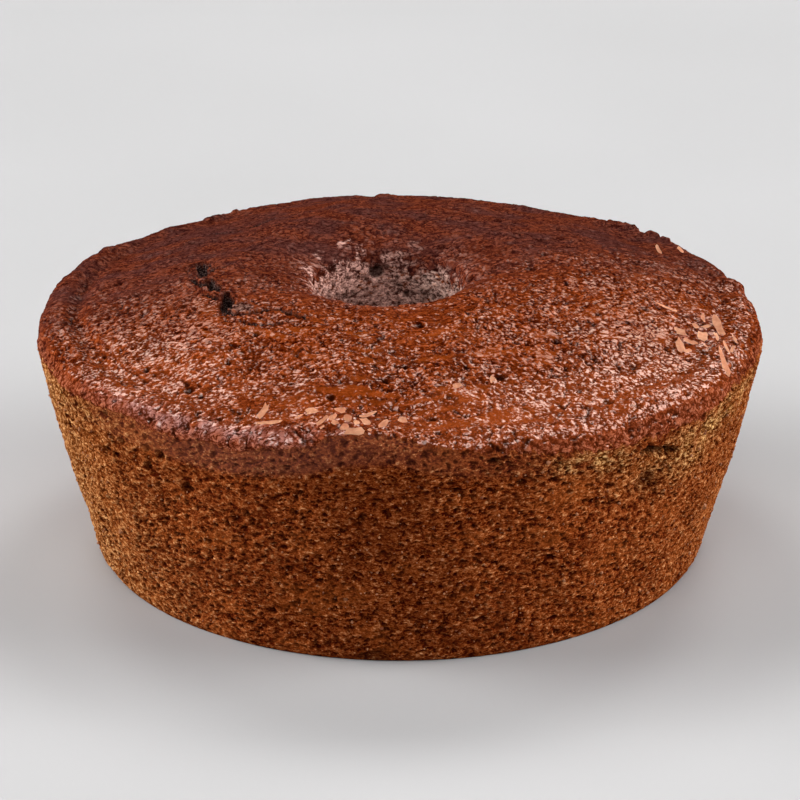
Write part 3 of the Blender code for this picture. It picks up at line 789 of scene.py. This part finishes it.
def mesh_object(name, points, triangles, material):
    """A smooth mesh object from arrays."""
    mesh = bpy.data.meshes.new(name)
    mesh.vertices.add(len(points))
    mesh.vertices.foreach_set("co", points.astype(np.float32).ravel())
    mesh.loops.add(triangles.size)
    mesh.loops.foreach_set("vertex_index", triangles.astype(np.int32).ravel())
    mesh.polygons.add(len(triangles))
    mesh.polygons.foreach_set("loop_start", np.arange(0, triangles.size, 3, dtype=np.int32))
    mesh.update(calc_edges=True)
    mesh.shade_smooth()
    mesh.materials.append(material)
    return add_to_scene(name, mesh)


def add_mask(piece, name, values):
    layer = piece.data.attributes.new(name, "FLOAT", "POINT")
    layer.data.foreach_set("value", values.astype(np.float32))


def skin_piece(name, faces, skin, material):
    """One piece of the skin: the given triangles, their points, masks and normals."""
    points, normals, masks = skin
    used, local = np.unique(faces, return_inverse=True)
    piece = mesh_object(name, points[used], local.reshape(-1, 3), material)
    for mask, values in masks.items():
        add_mask(piece, mask, values[used])
    piece.data.normals_split_custom_set_from_vertices(normals[used].tolist())
    return piece


def make_skin(crust_material, crumb_material):
    """The cake's skin, shared out to its pieces, and the form under its relief."""
    points, above_rim, triangles, owner = build_skin()
    formed = bake_unevenly(points)
    masks, above_edge = skin_masks(points, above_rim)
    carved = carve_skin(formed, point_normals(formed, triangles), masks, above_edge)
    skin = (carved, point_normals(carved, triangles), masks)
    crust = masks["crust"][triangles].mean(axis=1) > 0.5
    front = points[triangles][:, :, 1].mean(axis=1) < 0.0
    outside = np.isin(owner, (0, 1)) & (np.hypot(*points[triangles[:, 0], :2].T) > 0.0305)
    shares = {
        "crust_front": (crust & front, crust_material),
        "crust_back": (crust & ~front, crust_material),
        "crumb_front": (~crust & outside & front, crumb_material),
        "crumb_back": (~crust & outside & ~front, crumb_material),
        "crumb_inside": (~crust & ~outside, crumb_material),
    }
    pieces = [skin_piece(name, triangles[own], skin, m) for name, (own, m) in shares.items()]
    return pieces, formed, carved, triangles


# --- Materials ---


class Shading:
    """A material's node tree, with short ways to add to it."""

    def __init__(self, name):
        self.material = bpy.data.materials.new(name)
        self.material.use_nodes = True
        self.tree = self.material.node_tree
        self.shader = self.tree.nodes["Principled BSDF"]
        self.place = self.add("TexCoord").outputs["Object"]

    def add(self, kind, inputs=(), **settings):
        """Adds a node with some settings, and links or sets some of its inputs."""
        node = self.tree.nodes.new("ShaderNode" + kind)
        for setting, value in settings.items():
            setattr(node, setting, value)
        for socket, value in inputs:
            self.join(value, node.inputs[socket])
        return node

    def join(self, value, socket):
        """Links an output to a socket, or sets the socket to a plain value."""
        if isinstance(value, bpy.types.NodeSocket):
            self.tree.links.new(value, socket)
        else:
            socket.default_value = value

    def mask(self, name):
        return self.add("Attribute", attribute_name=name).outputs["Fac"]

    def noise(self, scale, detail=3.0, roughness=0.6, distortion=0.0):
        names = ("Vector", "Scale", "Detail", "Roughness", "Distortion")
        inputs = zip(names, (self.place, scale, detail, roughness, distortion))
        return self.add("TexNoise", inputs).outputs["Fac"]

    def squeeze(self, amounts):
        """Makes the patterns that are added from here on finer along X, Y and Z by these amounts."""
        node = self.add("Mapping", (("Vector", self.place), ("Scale", amounts)))
        self.place = node.outputs["Vector"]

    def crinkle(self, scale):
        """Flat-topped lumps between thin creases: 0 in the creases and 1 on the lumps."""
        away = self.math("SUBTRACT", self.noise(scale, 1.0, 0.5, 0.5), 0.5)
        return self.spread(self.math("ABSOLUTE", away), 0.0, 0.15)

    def math(self, operation, first, second=0.0):
        inputs = enumerate((first, second))
        return self.add("Math", inputs, operation=operation).outputs[0]

    def times(self, first, second):
        return self.math("MULTIPLY", first, second)

    def mixture(self, *parts):
        """The sum of several values: each a weight and a value."""
        total = 0.0
        for weight, value in parts:
            total = self.math("ADD", self.times(value, weight), total)
        return total

    def spread(self, value, low, high, new_low=0.0, new_high=1.0):
        names = ("Value", "From Min", "From Max", "To Min", "To Max")
        inputs = zip(names, (value, low, high, new_low, new_high))
        return self.add("MapRange", inputs).outputs["Result"]

    def ramp(self, value, stops):
        node = self.add("ValToRGB", (("Fac", value),))
        elements = node.color_ramp.elements
        while len(elements) < len(stops):
            elements.new(0.5)
        for element, (position, colour) in zip(elements, stops):
            element.position = position
            element.color = (*colour, 1.0)
        return node.outputs["Color"]

    def blend(self, share, *colours):
        first, second = ((*c, 1.0) if isinstance(c, tuple) else c for c in colours)
        inputs = (("Factor", share), (6, first), (7, second))
        return self.add("Mix", inputs, data_type="RGBA").outputs[2]

    def tint(self, colour, mask, most, layer):
        """Lays another colour over a colour where a mask is, up to a share."""
        return self.blend(self.times(self.mask(mask), most), colour, layer)

    def bump(self, height, distance, before=None):
        inputs = [("Height", height), ("Distance", distance)]
        if before is not None:
            inputs.append(("Normal", before))
        return self.add("Bump", inputs).outputs["Normal"]

    def finish(self, colour, roughness, specular, **sockets):
        sockets.update(Base_Color=colour, Roughness=roughness, Specular_IOR_Level=specular)
        for name, value in sockets.items():
            self.join(value, self.shader.inputs[name.replace("_", " ")])
        return self.material


def dust_hole(s, tone, colour, most):
    """Adds the pale bloom of the hole: pinkish on its left, ashen on its right, in specks."""
    dust = s.tint(s.ramp(tone, PINK_BLOOM), "grey", 0.85, s.ramp(tone, ASHEN_BLOOM))
    pale = s.mask("pale")
    specks = s.spread(s.mixture((1.0, s.noise(420, 2.0)), (0.22, pale)), 0.49, 0.68)
    share = s.times(specks, s.spread(pale, 0.0, 0.35))
    return s.blend(s.times(share, most), colour, dust)


def crust_material():
    """The red-brown crust: crinkled, with creases painted dark as shade, glossy specks, a duller rim, and
    painted sheen and shade.
    """
    s = Shading("baked_crust")
    s.squeeze((0.72, 1.0, 1.0))
    fine = s.noise(2300, 2.0)
    broad = s.noise(75, 3.0, 0.55)
    lumps = s.mixture((0.6, s.crinkle(560)), (0.4, s.crinkle(1250)))
    # Painted shade: the tone, and so the colour, is darker in the creases and the relief's low places and
    # lighter on its lumps.
    tone = s.mixture((0.4, lumps), (0.3, fine), (0.3, s.mask("peak")))
    gloss_and_painted_sheen = s.mask("gloss_and_painted_sheen")
    colour = s.ramp(tone, GLOSSY_CRUST)
    colour = s.blend(s.spread(broad, 0.5, 0.68, 0.0, 0.45), colour, (0.06, 0.008, 0.002))
    colour = s.blend(s.spread(broad, 0.48, 0.34, 0.0, 0.25), colour, (0.245, 0.043, 0.007))
    colour = s.tint(colour, "flow", 0.45, (0.265, 0.046, 0.005))
    # Painted sheen: the crust lighter and warmer where it is glossiest.
    colour = s.blend(s.spread(gloss_and_painted_sheen, 0.5, 1.5, 0.0, 0.22), colour, (0.32, 0.063, 0.014))
    matte = s.times(s.math("MAXIMUM", s.mask("rim"), s.mask("knobs")), 0.6)
    colour = s.blend(matte, colour, s.ramp(tone, DULL_CRUST))
    # Painted reflection: a pale sheen laid on the roll at the front left.
    colour = s.tint(colour, "painted_rim_sheen", 0.48, s.ramp(tone, PAINTED_RIM_SHEEN))
    # Painted shade and painted reflection: the crust darker and purplish towards the back.
    most_back_shade = s.spread(broad, 0.62, 0.4, 0.45, 0.9)
    colour = s.tint(colour, "painted_back_shade", most_back_shade, s.ramp(tone, PAINTED_BACK_SHADE))
    colour = dust_hole(s, tone, colour, 0.66)
    # Painted shade: the pits and fissures darkened.
    colour = s.tint(colour, "hollow", 0.92, (0.014, 0.0014, 0.0002))
    # Painted shade: the insides of the splits nearly black.
    colour = s.tint(colour, "split", 0.97, s.ramp(fine, SPLIT_CRUST))
    colour = s.tint(colour, "crumbled", 0.8, s.ramp(tone, CRUMBLED_CRUST))
    sheen = s.times(s.spread(lumps, 0.44, 0.64), s.spread(gloss_and_painted_sheen, 0.0, 1.2, 0.32, 1.0))
    for mask, weight in DULLING:
        sheen = s.times(sheen, s.spread(s.mask(mask), 0.0, 1.0, 1.0, 1.0 - weight))
    coat = {"Coat_Weight": sheen, "Coat_Roughness": 0.13, "Coat_IOR": 1.6}
    coat["Coat_Normal"] = s.bump(s.noise(900, 1.0, 0.5), 0.00016)
    return s.finish(colour, 0.8, 0.0, Normal=s.bump(lumps, 0.00018), **coat)


def crumb_material():
    """The matte porous crumb, with golden places that are part dry crumb and part painted light, a purplish
    band and a paler hole.
    """
    s = Shading("baked_crumb")
    s.squeeze((1.0, 1.0, 1.7))
    fine = s.noise(1300, 3.0, 0.65)
    middle = s.noise(520, 3.0, 0.65)
    broad = s.noise(55, 3.0, 0.55)
    # Painted shade: the tone is darker where the relief is low and lighter on its peaks.
    peak = s.spread(s.mask("peak"), 0.15, 0.9, -0.06, 0.06)
    tone = s.mixture((0.5, fine), (0.5, middle), (1.0, peak))
    colour = s.ramp(tone, MOIST_CRUMB)
    colour = s.blend(s.spread(broad, 0.5, 0.68, 0.0, 0.4), colour, (0.09, 0.015, 0.0035))
    colour = s.blend(s.spread(broad, 0.48, 0.34, 0.0, 0.3), colour, (0.29, 0.068, 0.012))
    colour = s.tint(colour, "band", 0.42, (0.15, 0.048, 0.032))
    # Golden crumb, in part painted light: glints under the crust's edge and light on the flanks.
    colour = s.tint(colour, "dry_crumb_and_painted_light", 0.9, s.ramp(tone, DRY_AND_LIT_CRUMB))
    colour = dust_hole(s, tone, colour, 0.95)
    # Painted shade: the pores darkened.
    colour = s.tint(colour, "hollow", 0.95, (0.012, 0.0012, 0.0003))
    # Painted shade: the insides of the openings and pits nearly black.
    colour = s.tint(colour, "split", 0.97, (0.01, 0.0025, 0.0012))
    micro = s.bump(fine, 0.00035, s.bump(middle, 0.00085))
    return s.finish(colour, 0.85, 0.0, Normal=micro)


def flake_material():
    """Pale milk chocolate with a dull, scraped face."""
    s = Shading("pale_chocolate")
    tone = s.mixture((0.4, s.noise(900)), (0.6, s.noise(160, 2.0, 0.5)))
    colour = s.tint(s.ramp(tone, PALE_CHOCOLATE), "shade", 0.38, (0.44, 0.165, 0.07))
    micro = s.bump(s.noise(900, 1.0, 0.5), 0.00012)
    return s.finish(colour, 0.55, 0.3, Normal=micro)


def grain_material():
    """Dry crumb, lighter than the skin that it clings to."""
    s = Shading("dry_grain")
    colour = s.ramp(s.noise(260, 2.0, 0.5), LOOSE_GRAIN)
    micro = s.bump(s.noise(2500, 2.0, 0.5), 0.0001)
    return s.finish(colour, 0.6, 0.3, Normal=micro)


def floor_material():
    s = Shading("pale_floor")
    colour = s.ramp(s.noise(3.0, 2.0, 0.5), PALE_FLOOR)
    return s.finish(colour, 0.7, 0.0)


# --- Flakes and grains ---


def flake_corners(uneven, tear):
    """The corners of a flake's torn outline, for a flake of length and width 1."""
    corners = []
    for k in range(FLAKE_CORNERS):
        angle = 2.0 * math.pi * (k + tear.uniform(-0.25, 0.25)) / FLAKE_CORNERS
        reach = 0.5 * (1.0 + tear.uniform(-0.26, 0.22) + uneven[k % len(uneven)])
        reach /= max(abs(math.cos(angle)), abs(math.sin(angle))) ** 0.6
        corners.append((reach * math.cos(angle), reach * math.sin(angle)))
    return corners


def flake_shape(length, width, draw, tear):
    """A thin curled chip with a flat face, torn edges and sharp corners."""
    curl = draw.uniform(0.1, 0.28)
    skew = draw.uniform(-0.25, 0.25)
    corners = flake_corners(draw.uniform(-0.12, 0.12, size=10), tear)
    shape = bmesh.new()
    middle = shape.verts.new((0.0, 0.0, 0.0))
    inner = [shape.verts.new((0.55 * a, 0.55 * b, 0.0)) for a, b in corners]
    outer = [shape.verts.new((a, b, 0.0)) for a, b in corners]
    for a, b, c, d in zip(inner, inner[1:] + inner[:1], outer, outer[1:] + outer[:1]):
        shape.faces.new((middle, a, b))
        shape.faces.new((a, c, d))
        shape.faces.new((a, d, b))
    for corner in shape.verts:
        along, across = corner.co.x, corner.co.y
        corner.co.x = length * (along + skew * across)
        corner.co.y = width * across
        corner.co.z = curl * length * (along**2 - 0.06) + tear.uniform(-0.02, 0.02) * width
    return shape


def lay_flake(place, size, turn, tree, draw, tear):
    """One flake's points and triangles, laid on the crust, a little raised and tilted."""
    point, normal, _, _ = tree.ray_cast(polar(*place, 0.2), Vector((0.0, 0.0, -1.0)))
    shape = flake_shape(*size, draw, tear)
    along_ring = Matrix.Rotation(math.radians(place[0] + 90 + turn), 4, "Z")
    upright = Vector((0.0, 0.0, 1.0)).rotation_difference(normal).to_matrix().to_4x4()
    tilt = Matrix.Rotation(math.radians(draw.uniform(*FLAKE_TILT)), 4, "X")
    lean = Matrix.Rotation(math.radians(tear.uniform(*FLAKE_LEAN)), 4, "X")
    stand = Matrix.Translation(point + normal * FLAKE_STAND)
    matrix = stand @ lean @ upright @ along_ring @ tilt
    bmesh.ops.solidify(shape, geom=list(shape.faces), thickness=FLAKE_THICKNESS)
    bmesh.ops.recalc_face_normals(shape, faces=shape.faces)
    bmesh.ops.triangulate(shape, faces=shape.faces)
    bmesh.ops.transform(shape, matrix=matrix, verts=shape.verts)
    return arrays(shape)


def arrays(shape):
    """A small shape's points and triangles, after which the shape is freed."""
    shape.verts.index_update()
    points = np.array([v.co for v in shape.verts])
    triangles = np.array([[v.index for v in f.verts] for f in shape.faces])
    shape.free()
    return points, triangles


def joined(name, shapes, material):
    """One object from many small shapes."""
    offset, points, triangles = 0, [], []
    for own_points, own_triangles in shapes:
        points.append(own_points)
        triangles.append(own_triangles + offset)
        offset += len(own_points)
    return mesh_object(name, np.concatenate(points), np.concatenate(triangles), material)


def make_flakes(tree, material):
    draw = RandomState(FLAKE_SEED)
    tear = RandomState(TEAR_SEED)
    shapes = []
    for azimuth, radius, length, width, turn in LARGE_FLAKES:
        size = (length * MM, width * MM)
        shapes.append(lay_flake((azimuth, radius * MM), size, turn, tree, draw, tear))
    azimuth, radius, sweep, spread, count = FLAKE_DRIFT
    for _ in range(count):
        place = (azimuth + draw.uniform(-sweep, sweep), radius + draw.uniform(-spread, spread))
        length = draw.uniform(0.0022, 0.0042)
        size = (length, length * draw.uniform(0.5, 0.8))
        shapes.append(lay_flake(place, size, draw.uniform(0.0, 180), tree, draw, tear))
    flakes = joined("chocolate_flakes", shapes, material)
    shades = [np.full(len(points), tear.uniform()) for points, _ in shapes]
    add_mask(flakes, "shade", np.concatenate(shades))
    flakes.data.shade_flat()
    return flakes


def skin_places(points, triangles, count, draw):
    """Random places on the wall, each equally likely by area, and the normals there."""
    a, b, c = (points[triangles[:, k]] for k in range(3))
    face = np.cross(b - a, c - a)
    area = lengths(face)
    lowest, highest = GRAIN_HEIGHTS
    on_wall = (b[:, 2] > lowest) & (b[:, 2] < highest)
    on_wall &= np.hypot(*b[:, :2].T) > GRAIN_INNER_RADIUS
    wall_area = np.where(on_wall, area, 0.0)
    chosen = draw.choice(len(triangles), count, p=wall_area / wall_area.sum())
    u, v = draw.uniform(size=(2, count, 1))
    u, v = np.where(u + v > 1.0, 1.0 - u, u), np.where(u + v > 1.0, 1.0 - v, v)
    places = a[chosen] + u * (b[chosen] - a[chosen]) + v * (c[chosen] - a[chosen])
    return places, face[chosen] / area[chosen, None]


def make_grains(points, triangles, material):
    """Loose grains of crumb that cling to the skin, each an uneven lump."""
    draw = RandomState(GRAIN_SEED)
    lump = bmesh.new()
    bmesh.ops.create_icosphere(lump, subdivisions=1, radius=1.0)
    corners, faces = arrays(lump)
    places, normals = skin_places(points, triangles, GRAIN_COUNT, draw)
    size = GRAIN_RADIUS * draw.lognormal(0.0, 0.35, size=(GRAIN_COUNT, 1, 1))
    stretch = draw.uniform(0.7, 1.3, size=(GRAIN_COUNT, 1, 3))
    uneven = draw.uniform(0.75, 1.15, size=(GRAIN_COUNT, len(corners), 1))
    grains = places[:, None] + normals[:, None] * size * 0.3 + corners * size * stretch * uneven
    order = np.arange(GRAIN_COUNT)[:, None, None] * len(corners) + faces
    piece = mesh_object("loose_grains", grains.reshape(-1, 3), order.reshape(-1, 3), material)
    piece.data.shade_flat()
    return piece


# --- Stage ---


def make_floor():
    bpy.ops.mesh.primitive_plane_add(size=12, location=(0.0, 0.0, -0.0003))
    floor = bpy.context.object
    floor.name = "floor"
    floor.data.materials.append(floor_material())
    floor.visible_glossy = False


def make_camera():
    camera = bpy.data.cameras.new("camera")
    camera.sensor_width = SENSOR_WIDTH
    camera.lens = SENSOR_WIDTH * FOCAL_PIXELS / FRAME_PIXELS
    camera.clip_start = 0.05
    camera.clip_end = 30
    obj = add_to_scene("camera", camera)
    tilt = math.radians(CAMERA_ELEVATION)
    back = Vector((0.0, -math.cos(tilt), math.sin(tilt)))
    obj.location = Vector(CAMERA_TARGET) + back * CAMERA_DISTANCE
    obj.rotation_euler = (math.pi / 2.0 - tilt, 0.0, 0.0)
    bpy.context.scene.camera = obj


def sun(name, azimuth, elevation, spread, strength, colour=(1.0, 1.0, 1.0)):
    """Soft daylight from an azimuth and an elevation, as from a disc so many degrees across."""
    light = bpy.data.lights.new(name, "SUN")
    light.energy = strength
    light.angle = math.radians(spread)
    light.color = colour
    obj = add_to_scene(name, light)
    flat = math.cos(math.radians(elevation))
    towards = polar(azimuth, flat, math.sin(math.radians(elevation)))
    obj.rotation_euler = towards.to_track_quat("Z", "Y").to_euler()
    return obj


def make_lights():
    """Broad lights that shade without a sheen, and warm ones that only glint."""
    world = bpy.data.worlds.new("studio")
    bpy.context.scene.world = world
    world.use_nodes = True
    background = world.node_tree.nodes["Background"].inputs
    background["Color"].default_value = AMBIENT_COLOUR
    background["Strength"].default_value = AMBIENT_STRENGTH
    world.cycles_visibility.glossy = False
    for light in BROAD_LIGHTS:
        sun(*light).visible_glossy = False
    for light in GLINT_LIGHTS:
        sun(*light).visible_diffuse = False


def main():
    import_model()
    make_camera()
    make_lights()
    make_floor()
    pieces, formed, carved, triangles = make_skin(crust_material(), crumb_material())
    tree = BVHTree.FromPolygons(formed.tolist(), triangles.tolist())
    pieces.append(make_flakes(tree, flake_material()))
    pieces.append(make_grains(carved, triangles, grain_material()))
    for piece in pieces:
        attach(piece, "root")
        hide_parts("cake")
    bpy.context.scene.view_settings.view_transform = "Standard"


main()
